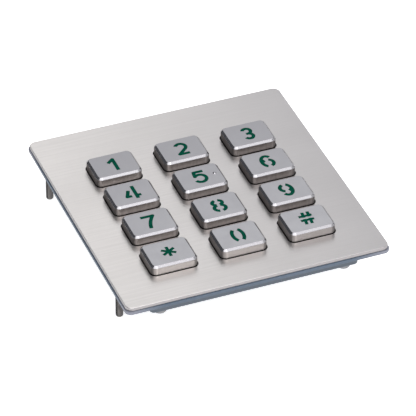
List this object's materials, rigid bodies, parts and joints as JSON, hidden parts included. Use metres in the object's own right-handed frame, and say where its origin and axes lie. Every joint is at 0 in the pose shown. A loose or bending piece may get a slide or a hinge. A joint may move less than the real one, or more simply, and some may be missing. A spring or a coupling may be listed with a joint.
{
  "type": "keypad access reader",
  "caption": "Flat steel keypad reader with travelling backlit metal keys, for stud mounting through a panel, with gasket and rear electronics cover.",
  "frame": {"origin": "centre of the rectangle of four mounting studs, in the panel plane where the gasket's rear face rests", "axes": "+Z out of the front plate towards the user, +Y towards the plate's edge above the 1-2-3 row, +X to the user's right"},
  "size_m": [0.1088, 0.1144, 0.0234],
  "materials": {
    "brushed_plate": "brushed stainless steel, grain along X",
    "satin_key": "fine satin stainless steel with polished bevels",
    "legend_green": "dark green translucent resin, flush in its slots",
    "carbon": "matte carbon-filled silicone",
    "gasket_rubber": "smooth blue-grey silicone rubber",
    "stud_steel": "plain dark steel",
    "screw_steel": "zinc-plated steel",
    "cover_plastic": "fine-grained blue-grey moulding",
    "frame_plastic": "black moulding",
    "silicone": "milky translucent silicone",
    "board_green": "solder-masked glass-epoxy board",
    "gold_pads": "gold-plated copper",
    "led_resin": "clear resin on a white carrier",
    "chip_black": "moulded epoxy",
    "chip_tan": "fired ceramic with tinned ends",
    "crystal_can": "nickel-plated can",
    "nylon_white": "natural nylon",
    "pin_tin": "tin-plated brass"
  },
  "bodies": {
    "housing": {"front_plate": "brushed_plate", "panel_gasket": "gasket_rubber", "mounting_studs": "stud_steel", "cover_standoffs": "stud_steel", "cover_screws": "screw_steel", "rear_cover": "cover_plastic", "key_frame": "frame_plastic", "keymat": "silicone", "circuit_board": "board_green", "contact_pads": "gold_pads", "backlight_leds": "led_resin", "led_resistors": "chip_black", "capacitors": "chip_tan", "crystal": "crystal_can", "voltage_regulator": "chip_black", "controller_chip": "chip_black", "connector_housing": "nylon_white", "connector_pins": "pin_tin"},
    "key_1": {"key_1_cap": "satin_key", "key_1_legend": "legend_green", "key_1_contact": "carbon"},
    "key_2": {"key_2_cap": "satin_key", "key_2_legend": "legend_green", "key_2_contact": "carbon"},
    "key_3": {"key_3_cap": "satin_key", "key_3_legend": "legend_green", "key_3_contact": "carbon"},
    "key_4": {"key_4_cap": "satin_key", "key_4_legend": "legend_green", "key_4_contact": "carbon"},
    "key_5": {"key_5_cap": "satin_key", "key_5_legend": "legend_green", "key_5_contact": "carbon"},
    "key_6": {"key_6_cap": "satin_key", "key_6_legend": "legend_green", "key_6_contact": "carbon"},
    "key_7": {"key_7_cap": "satin_key", "key_7_legend": "legend_green", "key_7_contact": "carbon"},
    "key_8": {"key_8_cap": "satin_key", "key_8_legend": "legend_green", "key_8_contact": "carbon"},
    "key_9": {"key_9_cap": "satin_key", "key_9_legend": "legend_green", "key_9_contact": "carbon"},
    "key_star": {"key_star_cap": "satin_key", "key_star_legend": "legend_green", "key_star_contact": "carbon"},
    "key_0": {"key_0_cap": "satin_key", "key_0_legend": "legend_green", "key_0_contact": "carbon"},
    "key_hash": {"key_hash_cap": "satin_key", "key_hash_legend": "legend_green", "key_hash_contact": "carbon"}
  },
  "joints": [
    {"name": "key_1_press", "type": "slide", "parent": "housing", "child": "key_1", "axis": [0, 0, -1], "range_m": [0, 0.0005], "stiffness_N_per_m": 2000, "springref_m": -0.0005, "deforming": ["keymat"]},
    {"name": "key_2_press", "type": "slide", "parent": "housing", "child": "key_2", "axis": [0, 0, -1], "range_m": [0, 0.0005], "stiffness_N_per_m": 2000, "springref_m": -0.0005, "deforming": ["keymat"]},
    {"name": "key_3_press", "type": "slide", "parent": "housing", "child": "key_3", "axis": [0, 0, -1], "range_m": [0, 0.0005], "stiffness_N_per_m": 2000, "springref_m": -0.0005, "deforming": ["keymat"]},
    {"name": "key_4_press", "type": "slide", "parent": "housing", "child": "key_4", "axis": [0, 0, -1], "range_m": [0, 0.0005], "stiffness_N_per_m": 2000, "springref_m": -0.0005, "deforming": ["keymat"]},
    {"name": "key_5_press", "type": "slide", "parent": "housing", "child": "key_5", "axis": [0, 0, -1], "range_m": [0, 0.0005], "stiffness_N_per_m": 2000, "springref_m": -0.0005, "deforming": ["keymat"]},
    {"name": "key_6_press", "type": "slide", "parent": "housing", "child": "key_6", "axis": [0, 0, -1], "range_m": [0, 0.0005], "stiffness_N_per_m": 2000, "springref_m": -0.0005, "deforming": ["keymat"]},
    {"name": "key_7_press", "type": "slide", "parent": "housing", "child": "key_7", "axis": [0, 0, -1], "range_m": [0, 0.0005], "stiffness_N_per_m": 2000, "springref_m": -0.0005, "deforming": ["keymat"]},
    {"name": "key_8_press", "type": "slide", "parent": "housing", "child": "key_8", "axis": [0, 0, -1], "range_m": [0, 0.0005], "stiffness_N_per_m": 2000, "springref_m": -0.0005, "deforming": ["keymat"]},
    {"name": "key_9_press", "type": "slide", "parent": "housing", "child": "key_9", "axis": [0, 0, -1], "range_m": [0, 0.0005], "stiffness_N_per_m": 2000, "springref_m": -0.0005, "deforming": ["keymat"]},
    {"name": "key_star_press", "type": "slide", "parent": "housing", "child": "key_star", "axis": [0, 0, -1], "range_m": [0, 0.0005], "stiffness_N_per_m": 2000, "springref_m": -0.0005, "deforming": ["keymat"]},
    {"name": "key_0_press", "type": "slide", "parent": "housing", "child": "key_0", "axis": [0, 0, -1], "range_m": [0, 0.0005], "stiffness_N_per_m": 2000, "springref_m": -0.0005, "deforming": ["keymat"]},
    {"name": "key_hash_press", "type": "slide", "parent": "housing", "child": "key_hash", "axis": [0, 0, -1], "range_m": [0, 0.0005], "stiffness_N_per_m": 2000, "springref_m": -0.0005, "deforming": ["keymat"]}
  ]
}
